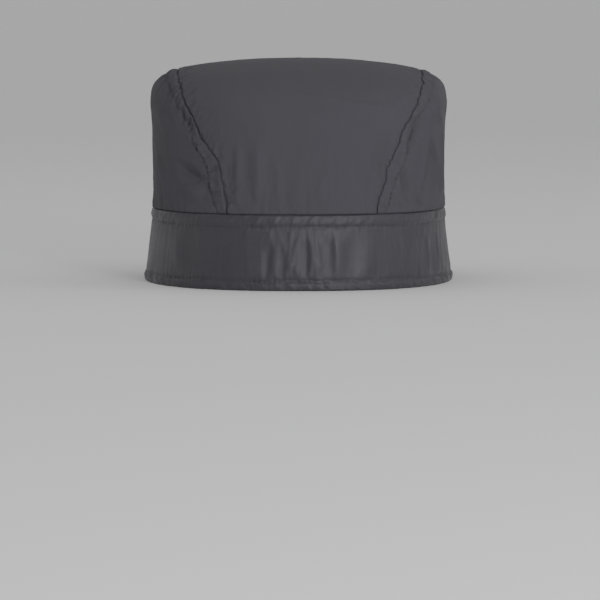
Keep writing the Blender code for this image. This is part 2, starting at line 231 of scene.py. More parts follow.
class CapSettings(bpy.types.PropertyGroup):
    """Sizes and colours of the cap."""

    rim_width: metres("Rim Width", "Across the rim from ear to ear", 0.170, 0.1)
    rim_length: metres("Rim Length", "Across the rim from brow to nape", 0.208, 0.1)
    crown_height: metres(
        "Crown Height", "From the band's top edge to the top of the cap", 0.082, 0.02)
    band_height: metres("Band Height", "From the rim to the band's top edge", 0.040, 0.02)
    widest_behind_middle: metres(
        "Widest Behind Middle", "How far behind the middle the cap is widest", 0.010)
    cloth_thickness: metres("Cloth Thickness", "One layer of cloth", 0.00045, 0.0001)
    band_thickness: metres("Band Thickness", "The band's two layers of cloth", 0.0012, 0.0002)
    seam_allowance: metres("Seam Allowance", "Cloth turned in behind a seam", 0.0120, 0.004)
    strip_width: metres(
        "Strip Width", "From a seam or edge to the row of stitches beside it", 0.0063, 0.002)
    hem_height: metres("Hem Height", "From the rim to the hem's stitches", 0.0051, 0.002)
    puff: metres("Puff", "How far the folded layers swell between edge and stitches", 0.0004)
    groove: metres("Groove", "How deep a row of stitches pulls the cloth in", 0.0006)
    pucker: metres("Pucker", "How far the cloth ripples along its stitches", 0.0005)
    fold_width: metres("Fold Width", "Half the width of a fold", 0.010, 0.001)
    fold_depth: metres("Fold Depth", "How far a fold stands out", 0.002)
    wrinkle_depth: metres("Wrinkle Depth", "How far the fine wrinkles stand out", 0.0004)
    stitch_length: metres("Stitch Length", "From one stitch to the next", 0.0029, 0.001)
    thread_radius: metres("Thread Radius", "Half the sewing thread's thickness", 0.00019, 0.00005)
    weave_pitch: metres("Weave Pitch", "Across two threads of the weave", 0.00042, 0.0001)
    crown_colour: colour("Crown Colour", "The cloth of the panels", (0.045, 0.044, 0.051))
    band_colour: colour("Band Colour", "The cloth of the band", (0.0485, 0.0462, 0.0560))
    thread_colour: colour("Thread Colour", "The sewing thread", (0.040, 0.039, 0.044))
    floor_colour: colour("Floor Colour", "The studio floor", (0.94, 0.94, 0.945))


def settings():
    return bpy.context.scene.skull_cap


# The form of the head, as in the solids


def smooth(x, xs, ys):
    """Read a smooth curve through the points xs, ys at x."""
    xs = np.asarray(xs, float)
    ys = np.asarray(ys, float)
    step = np.diff(xs)
    slope = np.diff(ys) / step
    inner = (slope[:-1] * step[1:] + slope[1:] * step[:-1]) / (step[1:] + step[:-1])
    tangent = np.concatenate([slope[:1], inner, slope[-1:]])
    x = np.clip(x, xs[0], xs[-1])
    i = np.clip(np.searchsorted(xs, x, side="right") - 1, 0, len(step) - 1)
    t = (x - xs[i]) / step[i]
    start = (2 * t**3 - 3 * t**2 + 1) * ys[i] + (t**3 - 2 * t**2 + t) * step[i] * tangent[i]
    end = (3 * t**2 - 2 * t**3) * ys[i + 1] + (t**3 - t**2) * step[i] * tangent[i + 1]
    return start + end


def ring_column(ring, index):
    """One column of RINGS, read at any ring."""
    rows = np.array(RINGS)
    return smooth(ring, rows[:, 0], rows[:, index])


def disc_point(angle, ring):
    """The point on the disc at an angle in degrees and a ring."""
    turn = np.radians(angle)
    return np.stack([ring * np.sin(turn), -ring * np.cos(turn)], -1)


def unit(vectors):
    return vectors / np.maximum(np.linalg.norm(vectors, axis=-1, keepdims=True), 1e-12)


def height_at(ring):
    """How high a ring stands above the rim, before the cap's lean."""
    cap = settings()
    return ring_column(ring, 1) * cap.crown_height + (1 - ring_column(ring, 2)) * cap.band_height


def head_form(disc):
    """The smooth form under the folds, at points on the disc."""
    cap = settings()
    ring = np.hypot(disc[..., 0], disc[..., 1])
    away = np.maximum(ring, 1e-9)
    aside = disc[..., 0] / away
    ahead = np.where(ring > 0, -disc[..., 1] / away, 1.0)
    front = ring_column(ring, 3) * (cap.rim_length / 2 + cap.widest_behind_middle)
    back = ring_column(ring, 4) * (cap.rim_length / 2 - cap.widest_behind_middle)
    side = ring_column(ring, 5) * cap.rim_width / 2
    square = ring_column(ring, 6)
    reach = (np.abs(aside) ** square + np.abs(ahead) ** square) ** (-1 / square)
    x = side * aside * reach
    y = -np.where(ahead > 0, front, back) * ahead * reach
    z = height_at(ring) - ring_column(ring, 7) * y
    return np.stack([x, y + cap.widest_behind_middle, z], -1)


def outward(shape, disc):
    """The outward direction of a shape at points on the disc."""
    east = np.array([NORMAL_STEP, 0.0])
    north = np.array([0.0, NORMAL_STEP])
    across = shape(disc + east) - shape(disc - east)
    along = shape(disc + north) - shape(disc - north)
    return unit(np.cross(across, along))


def along_line(points, line):
    """How far each point lies from a line of points, and how far along the line it lies."""
    nearest = np.full(points.shape[:-1], np.inf)
    travelled = np.zeros(points.shape[:-1])
    passed = 0.0
    for start, end in zip(line[:-1], line[1:]):
        run = end - start
        length = np.linalg.norm(run)
        share = np.clip((points - start) @ run / length**2, 0, 1)
        gap = np.linalg.norm(points - start - share[..., None] * run, axis=-1)
        travelled = np.where(gap < nearest, passed + share * length, travelled)
        nearest = np.minimum(nearest, gap)
        passed += length
    return nearest, travelled


def ease(share):
    """0 below 0, 1 above 1, and a smooth step between."""
    share = np.clip(share, 0, 1)
    return share * share * (3 - 2 * share)


def wander(across, along, seed):
    """Smooth random heights, nearly all from -1 to 1, that pass through 0 about once a unit."""
    turn = np.random.default_rng(seed).uniform(0, 2 * math.pi, (FIELD_SIZE, FIELD_SIZE))
    i = np.floor(across).astype(int)
    j = np.floor(along).astype(int)
    u = across - i
    v = along - j

    def corner(right, up):
        slope = turn[(i + right) % FIELD_SIZE, (j + up) % FIELD_SIZE]
        return np.cos(slope) * (u - right) + np.sin(slope) * (v - up)

    near = corner(0, 0) * (1 - ease(u)) + corner(1, 0) * ease(u)
    far = corner(0, 1) * (1 - ease(u)) + corner(1, 1) * ease(u)
    return 1.7 * (near * (1 - ease(v)) + far * ease(v))


def crumpled(across, along, seed, sharp):
    """Random heights from -1 to 1 that turn from round waves to thin crests as sharp goes to 1."""
    wave = wander(across, along, seed)
    crest = 2 * np.maximum(1 - 1.3 * np.abs(wave), 0) ** 2 - 0.6
    return (1 - sharp) * wave + sharp * crest


def freedom_to_fold(points):
    """0 in the strip where the band is stitched to the crown, and 1 away from it."""
    cap = settings()
    above = (points[..., 2] - cap.band_height) / cap.strip_width
    below = (cap.band_height - cap.strip_width - points[..., 2]) / (cap.strip_width / 2)
    return ease(np.maximum(above, below))


def fold_line(line):
    """Points on the head form along a smooth line through points of (angle, ring)."""
    knots = np.array(line, float)
    at = np.linspace(0, len(knots) - 1, 4 * len(knots) - 3)
    stops = range(len(knots))
    return head_form(disc_point(smooth(at, stops, knots[:, 0]), smooth(at, stops, knots[:, 1])))


def fold_lift(points):
    """How far the folds lift the cloth at points on the head form."""
    cap = settings()
    lift = np.zeros(points.shape[:-1])
    for _, width, depth, sharp, line in FOLDS:
        half = width * cap.fold_width
        line = fold_line(line)
        middle = line.mean(axis=0)
        reach = half + np.linalg.norm(line - middle, axis=1).max()
        near = np.linalg.norm(points - middle, axis=-1) < reach
        away, travelled = along_line(points[near], line)
        length = np.linalg.norm(np.diff(line, axis=0), axis=1).sum()
        run_out = ease(0.25 + np.minimum(travelled, length - travelled) / (half + length / 4))
        share = np.clip(away / (half * (0.6 + 0.4 * run_out)), 0, 1)
        crest = (1 - sharp) * np.cos(share * math.pi / 2) ** 2 + sharp * (1 - share) ** 2
        lift[near] += depth * cap.fold_depth * crest * run_out
    return lift * freedom_to_fold(points)


def cloth_form(disc):
    """The head form with the folds in it."""
    base = head_form(disc)
    return base + fold_lift(base)[..., None] * outward(head_form, disc)


def ring_at(height):
    """The ring at a height above the rim, on the band or low on the crown."""
    rings = np.linspace(LOWEST_CROWN_RING, RIM_RING, CURVE_SAMPLES)
    return np.interp(-np.asarray(height), -height_at(rings), rings)


def foot_ring():
    """The ring where the crown starts to dip in behind the band."""
    return float(ring_at(settings().band_height + FOOT_ABOVE_BAND))


def cloth_place(disc):
    """Metres across and along the flat cloth, for the weave and the random wrinkles."""
    rings = np.linspace(0, RIM_RING, CURVE_SAMPLES)
    places = []
    for axis in (0, 1):
        line = np.zeros((len(rings), 2))
        line[:, axis] = rings
        steps = np.linalg.norm(np.diff(head_form(line), axis=0), axis=1)
        lengths = np.concatenate([[0.0], np.cumsum(steps)])
        flat = disc[..., axis]
        places.append(np.sign(flat) * np.interp(np.abs(flat), rings, lengths))
    return np.stack(places, -1)


# Seams


def seam_table(table, side, at):
    """Read the left or right column of SEAMS or STRIPS."""
    rows = np.array(table)
    return smooth(at, rows[:, 0], rows[:, 1] if side == LEFT else rows[:, 2])


def seam_half_width(side, along):
    return seam_table(SEAMS, side, along)


def seam_reach(side, along):
    """How far ahead or behind on the disc the seam's foot lies."""
    end = np.where(np.asarray(along) < 0, seam_half_width(side, -1), seam_half_width(side, 1))
    return np.sqrt(foot_ring()**2 - end**2)


def seam_point(side, along):
    """The disc point of the left or right seam, from its foot in front (-1) to that behind (+1)."""
    return np.stack([side * seam_half_width(side, along), along * seam_reach(side, along)], -1)


def beside_seam(side, along, distance):
    """The disc point at a distance from a seam, positive towards the side panel."""
    point = seam_point(side, along)
    ahead = seam_point(side, np.clip(along + NORMAL_STEP, -1, 1))
    behind = seam_point(side, np.clip(along - NORMAL_STEP, -1, 1))
    east = np.array([NORMAL_STEP, 0.0])
    north = np.array([0.0, NORMAL_STEP])
    by_x = (head_form(point + east) - head_form(point - east)) / (2 * NORMAL_STEP)
    by_y = (head_form(point + north) - head_form(point - north)) / (2 * NORMAL_STEP)
    seam_run = unit(head_form(ahead) - head_form(behind))
    square_to_seam = side * np.cross(seam_run, unit(np.cross(by_x, by_y)))
    disc_per_metre = np.linalg.pinv(np.stack([by_x, by_y], -1))
    square = (disc_per_metre @ square_to_seam[..., None])[..., 0]
    level = np.stack([-point[..., 1], point[..., 0]], -1) * (-side * np.sign(along))[..., None]
    level_run = by_x * level[..., :1] + by_y * level[..., 1:]
    level = level / (level_run * square_to_seam).sum(axis=-1, keepdims=True)
    clear = ease((1 - np.abs(along)) / FOOT_SHARE)[..., None]
    step = (1 - clear) * level + clear * square
    moved = point + np.asarray(distance)[..., None] * step
    level_with_point = unit(moved) * np.linalg.norm(point, axis=-1, keepdims=True)
    return (1 - clear) * level_with_point + clear * moved


def even_stations(curve, start, end, count):
    """Values from start to end that divide a curve on the disc into equal real lengths."""
    values = np.linspace(start, end, CURVE_SAMPLES)
    points = head_form(curve(values))
    lengths = np.linalg.norm(np.diff(points, axis=0), axis=1)
    travelled = np.concatenate([[0.0], np.cumsum(lengths)])
    return np.interp(np.linspace(0, travelled[-1], count + 1), travelled, values)


def arc_on_foot(angle_from, angle_to, count):
    """Disc points along the crown's foot, evenly spaced on the cap."""
    ring = foot_ring()
    angles = even_stations(lambda a: disc_point(a, ring), angle_from, angle_to, count)
    return disc_point(angles, ring)


def angle_of(point):
    """The angle of a disc point, in degrees."""
    return math.degrees(math.atan2(point[0], -point[1]))


def from_seam(side, disc):
    """Metres from a seam, positive towards the side panel, and metres along it."""
    along = even_stations(lambda t: seam_point(side, t), -1, 1, SEAM_KNOTS)
    line = head_form(seam_point(side, along))
    away, travelled = along_line(head_form(disc), line)
    front = disc[..., 1] < 0
    level = disc[..., 1] / np.where(front, seam_reach(side, -1), seam_reach(side, 1))
    beyond = side * disc[..., 0] > seam_half_width(side, np.clip(level, -1, 1))
    return np.where(beyond, away, -away), travelled


def as_sewn(disc):
    """Where a disc point ends up once the seams are sewn, which wobble with each pucker."""
    moved = disc.copy()
    crown = np.hypot(disc[:, 0], disc[:, 1]) < 1
    for side in (LEFT, RIGHT):
        away, travelled = from_seam(side, disc[crown])
        step = WOBBLE_STEP[side]
        wobble = wander(travelled / step, side * 0.4, seed=15)
        wobble += 0.5 * wander(travelled / FINE_WOBBLE_STEP, 0.4, seed=16)
        reach = WOBBLE_SHARE * step * np.exp(-(away / WOBBLE_REACH) ** 2)
        moved[crown, 0] += side * DISC_PER_METRE * wobble * reach
    return moved


# How the cloth lies: each function gives the lift of the outer face above the form


def seam_length(side):
    line = head_form(seam_point(side, np.linspace(-1, 1, CURVE_SAMPLES)))
    return np.linalg.norm(np.diff(line, axis=0), axis=1).sum()


def strip_width_at(side, travelled):
    """From a seam to its topstitching, which was sewn by eye."""
    share = seam_table(STRIPS, side, travelled / seam_length(side))
    by_eye = 0.07 * wander(travelled / 0.008, side * 0.3, seed=11)
    return settings().strip_width * (share + by_eye)


def seam_pucker(side, away, travelled):
    """Short oblique ridges across a seam and its stitches."""
    slant = travelled + 0.35 * away
    large = crumpled(slant / 0.0042, away / 0.0075, seed=5 + side, sharp=0.6)
    small = crumpled(slant / 0.0021 + 3.0, away / 0.005, seed=8 + side, sharp=0.4)
    return GATHERING[side] * settings().pucker * (0.8 * large + 0.45 * small)


def rounded_edge(from_edge, radius):
    """How far a rounded edge drops back, at a distance from the edge."""
    round_in = np.clip(1 - from_edge / radius, 0, 1)
    return -radius * (1 - np.sqrt(1 - round_in**2))


def dimples(travelled):
    """How hard the thread pulls along its row, most in the middle of each stitch's hole."""
    return 0.75 + 0.35 * np.cos(2 * math.pi * travelled / settings().stitch_length)


def side_lift(side, away, travelled):
    """A side panel beside its seam: a rounded edge, a swollen strip and a stitched groove."""
    cap = settings()
    width = strip_width_at(side, travelled)
    swell = cap.puff * np.sin(math.pi * np.clip(away / width, 0, 1)) ** 0.8
    swell *= 1 + 1.2 * wander(travelled / 0.0055, away / 0.006, seed=9)
    pull = cap.groove * dimples(travelled) * np.exp(-((away - width) / SEAM_GROOVE_REACH) ** 2)
    beside = np.exp(-np.abs(away - width * 0.7) / PUCKER_REACH) * ease(away / 0.0015)
    edge = rounded_edge(away, cap.cloth_thickness)
    return edge + swell - pull + seam_pucker(side, away, travelled) * beside


def side_thickness(away):
    """Two layers where the edge is turned in, one beyond the stitches."""
    cap = settings()
    extra = 1 - ease((away - cap.seam_allowance + 0.001) / 0.001)
    thick = cap.cloth_thickness * (1 + extra)
    return thick * np.sqrt(np.clip(away / cap.cloth_thickness, 0.04, 1))


def crown_tuck(height):
    """How far the crown has dipped in behind the band, 0 above it to 1 at its edge."""
    cap = settings()
    return 1 - ease((height - cap.band_height - TUCK_END) / TUCK_RUN)


def crown_ripple(disc):
    """The crown's random slackness: drag lines and crumples, and gathers above the band."""
    cap = settings()
    flat = cloth_place(disc)
    lift = np.zeros(disc.shape[:-1])
    for seed, (_, across, along, share, sharp) in enumerate(CROWN_RIPPLES):
        lift += share * crumpled(flat[..., 0] / across, flat[..., 1] / along, 20 + seed, sharp)
    above = np.maximum(head_form(disc)[..., 2] - cap.band_height, 0)
    around = round_the_band(disc)
    pleats = crumpled(around / 0.0068, above / 0.05, seed=31, sharp=0.4)
    gather = crumpled(around / 0.0036, above / 0.012, seed=32, sharp=0.6)
    pleats *= np.exp(-above / 0.022)
    gather *= np.exp(-above / 0.005)
    slack = 0.22 + 0.78 * np.exp(-above / 0.030)
    return cap.wrinkle_depth * (slack * lift + 0.9 * pleats + gather)


def side_cloth_lift(side, disc):
    cap = settings()
    away, travelled = from_seam(side, disc)
    away = np.maximum(away, 0)
    tuck = crown_tuck(head_form(disc)[..., 2])
    free = ease((away - 0.004) / 0.01)
    lift = side_lift(side, away, travelled) + free * crown_ripple(disc)
    return (1 - tuck) * lift - tuck * (cap.band_thickness + BAND_GAP)


def centre_cloth_lift(disc):
    """The centre panel: free in the middle, dipping in behind each side panel at its seam."""
    cap = settings()
    tuck = crown_tuck(head_form(disc)[..., 2])
    lift = crown_ripple(disc)
    for side in (LEFT, RIGHT):
        away, travelled = from_seam(side, disc)
        beyond = np.maximum(away, 0)
        behind = side_lift(side, beyond, travelled) - side_thickness(beyond) - CLOTH_GAP
        held = ease(1 + away / 0.011)
        drag = np.exp(-np.abs(away + 0.002) / PUCKER_REACH)
        before = (1 - 0.7 * held) * lift + 0.8 * drag * seam_pucker(side, away, travelled)
        dip = ease(1 + away / SEAM_DIP[side])
        lift = np.where(away > 0, behind, (1 - dip) * before + dip * behind)
    return (1 - tuck) * lift - tuck * (cap.band_thickness + BAND_GAP)


def round_the_band(disc):
    """Metres round the band from the middle of the front."""
    cap = settings()
    return np.arctan2(disc[..., 0], -disc[..., 1]) * (cap.rim_width + cap.rim_length) / 4


def top_row_height(around):
    """The stitches under the band's top edge, sewn almost straight."""
    cap = settings()
    return cap.band_height - cap.strip_width * (1 + 0.05 * wander(around / 0.012, 0.3, seed=51))


def hem_row_height(around):
    return settings().hem_height * (1 + 0.09 * wander(around / 0.008, 0.3, seed=52))


def band_lift(disc):
    """The band: rounded edges, a creased strip at the top and a roped hem, with grooves between."""
    cap = settings()
    height = head_form(disc)[..., 2]
    around = round_the_band(disc)
    from_edge = np.minimum(height, cap.band_height - height)
    edge = rounded_edge(from_edge, cap.band_thickness / 2)
    top_row = top_row_height(around)
    hem_row = hem_row_height(around)
    top_share = np.clip((height - top_row) / (cap.band_height - top_row), 0, 1)
    hem_share = np.clip((hem_row - height) / hem_row, 0, 1)
    above_row = height - top_row
    top_rope = crumpled(around / 0.0062 - above_row / 0.0085, height / 0.02, seed=53, sharp=0.5)
    top_rope += 0.5 * crumpled(around / 0.0028 - above_row / 0.007, 0.4, seed=57, sharp=0.6)
    hem_rope = crumpled(around / 0.0052 + height / 0.0065, 0.3, seed=54, sharp=0.4)
    hem_rope += 0.5 * crumpled(around / 0.0024 + height / 0.006, 0.3, seed=58, sharp=0.5)
    swell = cap.puff * np.sin(math.pi * top_share) ** 0.8 * (0.9 + 1.2 * top_rope)
    swell += cap.puff * np.sin(math.pi * hem_share ** 0.8) ** 0.8 * (0.9 + 1.5 * hem_rope)
    pull = (np.exp(-((height - top_row) / BAND_GROOVE_REACH) ** 2)
            + np.exp(-((height - hem_row) / BAND_GROOVE_REACH) ** 2))
    free = (ease((height - hem_row) / BAND_PUCKER_REACH)
            * ease((top_row - height) / BAND_PUCKER_REACH))
    ripple = np.zeros(disc.shape[:-1])
    for seed, (_, step, share, sharp, centre, reach) in enumerate(BAND_RIPPLES):
        turn = (np.degrees(np.arctan2(disc[..., 0], -disc[..., 1])) - centre + 180) % 360 - 180
        strength = share * np.exp(-(turn / reach) ** 2)
        ripple += strength * crumpled(around / step, height / (5 * step), 60 + seed, sharp)
    from_row = np.minimum(np.abs(height - top_row), np.abs(height - hem_row))
    near_row = np.exp(-from_row / BAND_PUCKER_REACH)
    pucker = crumpled(around / 0.0034, height / 0.012, seed=71, sharp=0.6)
    pucker += 0.5 * crumpled(around / 0.0019, height / 0.008, seed=72, sharp=0.5)
    from_join = math.pi * (cap.rim_width + cap.rim_length) / 4 - np.abs(around)
    join = np.exp(-(from_join / JOIN_GROOVE_REACH) ** 2)
    return (edge + swell - cap.groove * (dimples(around) * pull + join)
            + cap.wrinkle_depth * free * ripple + 0.5 * cap.pucker * near_row * pucker)


def rim_rise(disc):
    """The hem's edge isn't quite level: it stands clear of the floor here and there."""
    cap = settings()
    around = round_the_band(disc)
    uneven = crumpled(around / 0.0075, 0.3, seed=55, sharp=0.3)
    uneven += 0.5 * crumpled(around / 0.0031, 0.3, seed=56, sharp=0.5)
    share = 1 - ease(head_form(disc)[..., 2] / cap.hem_height)
    return RIM_UNEVENNESS * np.maximum(uneven, 0) * share


# Building the sheets


def fill_between(start_edge, end_edge, first_row, last_row):
    """A grid of disc points between four edges that meet at their ends."""
    u = np.linspace(0, 1, len(start_edge))[:, None, None]
    v = np.linspace(0, 1, len(first_row))[None, :, None]
    across = (1 - v) * start_edge[:, None] + v * end_edge[:, None]
    along = (1 - u) * first_row[None] + u * last_row[None]
    corners = ((1 - u) * ((1 - v) * start_edge[0] + v * end_edge[0])
               + u * ((1 - v) * start_edge[-1] + v * end_edge[-1]))
    return across + along - corners


def relax(grid, times):
    """Even out a grid's inner points, so that no row crosses the next where its corner is flat."""
    for _ in range(times):
        grid[1:-1, 1:-1] = (grid[:-2, 1:-1] + grid[2:, 1:-1] + grid[1:-1, :-2] + grid[1:-1, 2:]) / 4
    return grid


def lay_sheet(bm, disc):
    """Lay a grid of faces on the disc, one vertex to each point."""
    rows, columns = disc.shape[:2]
    bmesh.ops.create_grid(bm, x_segments=columns - 1, y_segments=rows - 1, size=1.0)
    for vertex, point in zip(bm.verts, disc.reshape(-1, 2)):
        vertex.co = (point[0], point[1], 0.0)


def new_vertices(grown):
    """The vertices that an extrusion made."""
    return [item for item in grown["geom"] if isinstance(item, bmesh.types.BMVert)]


def run_down_behind_band(bm):
    """Carry the crown's foot on down inside the band, a little at a time."""
    cap = settings()
    ring = foot_ring()
    edges = [e for e in bm.edges if e.is_boundary
             and all(abs(v.co.xy.length - ring) < ON_RING for v in e.verts)]
    for height in BEHIND_BAND:
        next_ring = float(ring_at(cap.band_height + height))
        grown = bmesh.ops.extrude_edge_only(bm, edges=edges)
        for vertex in new_vertices(grown):
            vertex.co.xy *= next_ring / ring
        edges = [item for item in grown["geom"]
                 if isinstance(item, bmesh.types.BMEdge) and item.is_boundary
                 and all(abs(v.co.xy.length - next_ring) < ON_RING for v in item.verts)]
        ring = next_ring


def thicken(bm):
    """Close the sheet into a wall: its twin lies at z -1 until the wall is formed."""
    for vertex in new_vertices(bmesh.ops.extrude_face_region(bm, geom=bm.faces[:])):
        vertex.co.z = -1.0
    bmesh.ops.recalc_face_normals(bm, faces=bm.faces[:])


def form_over_head(mesh, lift_at, thickness_at, rise_at=None):
    """Bend the flat wall over the head, its outer face at its lift and its twin a wall behind."""
    flat = np.empty(len(mesh.vertices) * 3, np.float32)
    mesh.vertices.foreach_get("co", flat)
    flat = flat.reshape(-1, 3).astype(float)
    disc, twin = np.unique(flat[:, :2], axis=0, return_inverse=True)
    twin = twin.reshape(-1)
    wall = np.broadcast_to(thickness_at(disc), len(disc))
    lift = lift_at(disc)[twin] - np.where(flat[:, 2] < -0.5, wall[twin], 0.0)
    sewn = as_sewn(disc)
    formed = cloth_form(sewn)[twin] + lift[:, None] * outward(cloth_form, sewn)[twin]
    if rise_at:
        formed[:, 2] += rise_at(disc)[twin]
    formed[:, 2] = np.maximum(formed[:, 2], 0.0)
    mesh.vertices.foreach_set("co", formed.astype(np.float32).ravel())
    mesh.update()
    return flat[:, :2]


def give_weave(mesh, places):
    """A UV map in metres of flat cloth."""
    uv = mesh.uv_layers.new(name="cloth")
    corners = np.empty(len(mesh.loops), np.int32)
    mesh.loops.foreach_get("vertex_index", corners)
    uv.data.foreach_set("uv", places[corners].astype(np.float32).ravel())


def add_object(name, data):
    made = bpy.data.objects.new(name, data)
    bpy.context.scene.collection.objects.link(made)
    return made


def add_piece(name, mesh, material):
    """Link a finished mesh, and let it ride with the cap."""
    mesh.materials.append(material)
    mesh.shade_smooth()
    piece = add_object(name, mesh)
    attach(piece, "root")
    return piece


def mesh_from(bm, name):
    mesh = bpy.data.meshes.new(name)
    bm.to_mesh(mesh)
    bm.free()
    return mesh


# Materials


def new_material(name):
    """A material with its node tree and its shader."""
    material = bpy.data.materials.new(name)
    material.use_nodes = True
    tree = material.node_tree
    return material, tree, tree.nodes["Principled BSDF"]


def add_node(tree, kind, inputs=(), **options):
    """A shader node with options set, and its inputs set or linked in order."""
    node = tree.nodes.new(kind)
    for option, value in options.items():
        setattr(node, option, value)
    for key, value in dict(inputs).items():
        if isinstance(value, bpy.types.NodeSocket):
            tree.links.new(value, node.inputs[key])
        else:
            node.inputs[key].default_value = value
    return node


def calculate(tree, operation, first, second=0.0):
    return add_node(tree, "ShaderNodeMath", {0: first, 1: second}, operation=operation).outputs[0]


def colour_by(tree, shader, factor, colour, spread):
    """Colour the shader from darker to lighter than a colour, by a factor."""
    dark = (*((1 - spread) * c for c in colour), 1.0)
    light = (*((1 + spread) * c for c in colour), 1.0)
    mix = add_node(tree, "ShaderNodeMix", {"Factor": factor, "A": dark, "B": light},
                   data_type="RGBA")
    tree.links.new(mix.outputs["Result"], shader.inputs["Base Color"])


# How many to the metre
SLUBS_ACROSS = 1100.0
SLUBS_ALONG = 22.0
CLOUDS = 55.0


def woven_cloth(name, colour):
    """Plain-woven poly-cotton: fine threads, faint slubs along warp and weft, a soft sheen."""
    cap = settings()
    material, tree, shader = new_material(name)
    uv = add_node(tree, "ShaderNodeUVMap", uv_map="cloth").outputs["UV"]
    place = add_node(tree, "ShaderNodeSeparateXYZ", {"Vector": uv})
    turns = 2 * math.pi / cap.weave_pitch
    threads = [calculate(tree, "SINE", calculate(tree, "MULTIPLY", place.outputs[axis], turns))
               for axis in ("X", "Y")]
    weave = calculate(tree, "MULTIPLY", threads[0], threads[1])

    def slubs(scale):
        stretched = add_node(tree, "ShaderNodeMapping", {"Vector": uv, "Scale": scale})
        noise = add_node(tree, "ShaderNodeTexNoise", {
            "Vector": stretched.outputs[0], "Scale": 1.0, "Detail": 2.0, "Roughness": 0.6})
        return noise.outputs["Fac"]

    warp = slubs((SLUBS_ACROSS, SLUBS_ALONG, 1.0))
    weft = slubs((SLUBS_ALONG, SLUBS_ACROSS, 1.0))
    cloud = slubs((CLOUDS, CLOUDS, 1.0))
    tone = calculate(tree, "MULTIPLY", calculate(tree, "ADD", warp, weft), 0.30)
    tone = calculate(tree, "ADD", tone, calculate(tree, "MULTIPLY", cloud, 0.40))
    tone = calculate(tree, "ADD", tone, calculate(tree, "MULTIPLY", weave, 0.10))
    colour_by(tree, shader, tone, colour, 0.30)
    rough = add_node(tree, "ShaderNodeMapRange", {
        "Value": cloud, "From Min": 0.3, "From Max": 0.7, "To Min": 0.42, "To Max": 0.54})
    tree.links.new(rough.outputs[0], shader.inputs["Roughness"])
    shader.inputs["Sheen Weight"].default_value = 0.05
    shader.inputs["Sheen Roughness"].default_value = 0.45
    shader.inputs["Sheen Tint"].default_value = (0.75, 0.76, 0.82, 1.0)
    slub_height = calculate(tree, "MULTIPLY", calculate(tree, "ADD", warp, weft), 0.6)
    height = calculate(tree, "ADD", calculate(tree, "MULTIPLY", weave, 0.25), slub_height)
    bump = add_node(tree, "ShaderNodeBump", {
        "Strength": 0.5, "Distance": 0.00012, "Height": height})
    tree.links.new(bump.outputs[0], shader.inputs["Normal"])
    return material


def sewing_thread(name, colour):
    """Twisted polyester thread with a slight gloss."""
    material, tree, shader = new_material(name)
    place = add_node(tree, "ShaderNodeTexCoord").outputs["Object"]
    noise = add_node(tree, "ShaderNodeTexNoise", {
        "Vector": place, "Scale": 2600.0, "Detail": 1.0, "Roughness": 0.5})
    colour_by(tree, shader, noise.outputs["Fac"], colour, 0.25)
    bump = add_node(tree, "ShaderNodeBump", {
        "Strength": 0.4, "Distance": 0.00006, "Height": noise.outputs["Fac"]})
    tree.links.new(bump.outputs[0], shader.inputs["Normal"])
    shader.inputs["Roughness"].default_value = 0.5
    return material


def crown_material():
    """The frame's own plain crown cloth, or a woven cloth where the frame has none."""
    found = bpy.data.materials.get("crown_cloth")
    return found or woven_cloth("crown_cloth", settings().crown_colour)


def thread_material():
    found = bpy.data.materials.get("thread")
    return found or sewing_thread("thread", settings().thread_colour)


# Pieces


class SKULLCAP_OT_centre_panel(bpy.types.Operator):
    """Sew the strip from the front of the band over the top to the back of the band."""

    bl_idname = "skullcap.centre_panel"
    bl_label = "Centre Panel"
    rows = 330
    columns = 100

    def execute(self, context):
        cap = settings()
        along = even_stations(lambda t: seam_point(RIGHT, t), -1, 1, self.rows)
        ramp = [*np.linspace(-0.0060, -0.0004, 11), *np.linspace(0.0, 0.004, 5),
                *np.linspace(0.0065, cap.seam_allowance, 3)]
        ramp = [np.full(len(along), distance) for distance in ramp]
        left = [beside_seam(LEFT, along, distance) for distance in reversed(ramp)]
        right = [beside_seam(RIGHT, along, distance) for distance in ramp]
        front = arc_on_foot(angle_of(left[-1][0]), angle_of(right[0][0]), self.columns)
        back = arc_on_foot(angle_of(left[-1][-1]) + 360, angle_of(right[0][-1]), self.columns)
        field = fill_between(left[-1], right[0], front, back)
        disc = np.concatenate([np.stack(left[:-1], 1), field, np.stack(right[1:], 1)], 1)
        bm = bmesh.new()
        lay_sheet(bm, disc)
        run_down_behind_band(bm)
        thicken(bm)
        mesh = mesh_from(bm, "centre_panel_cloth")
        places = form_over_head(mesh, centre_cloth_lift, lambda at: cap.cloth_thickness)
        give_weave(mesh, cloth_place(places))
        piece = add_piece("centre_panel_cloth", mesh, crown_material())
        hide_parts("centre_panel")
        return {"FINISHED"}


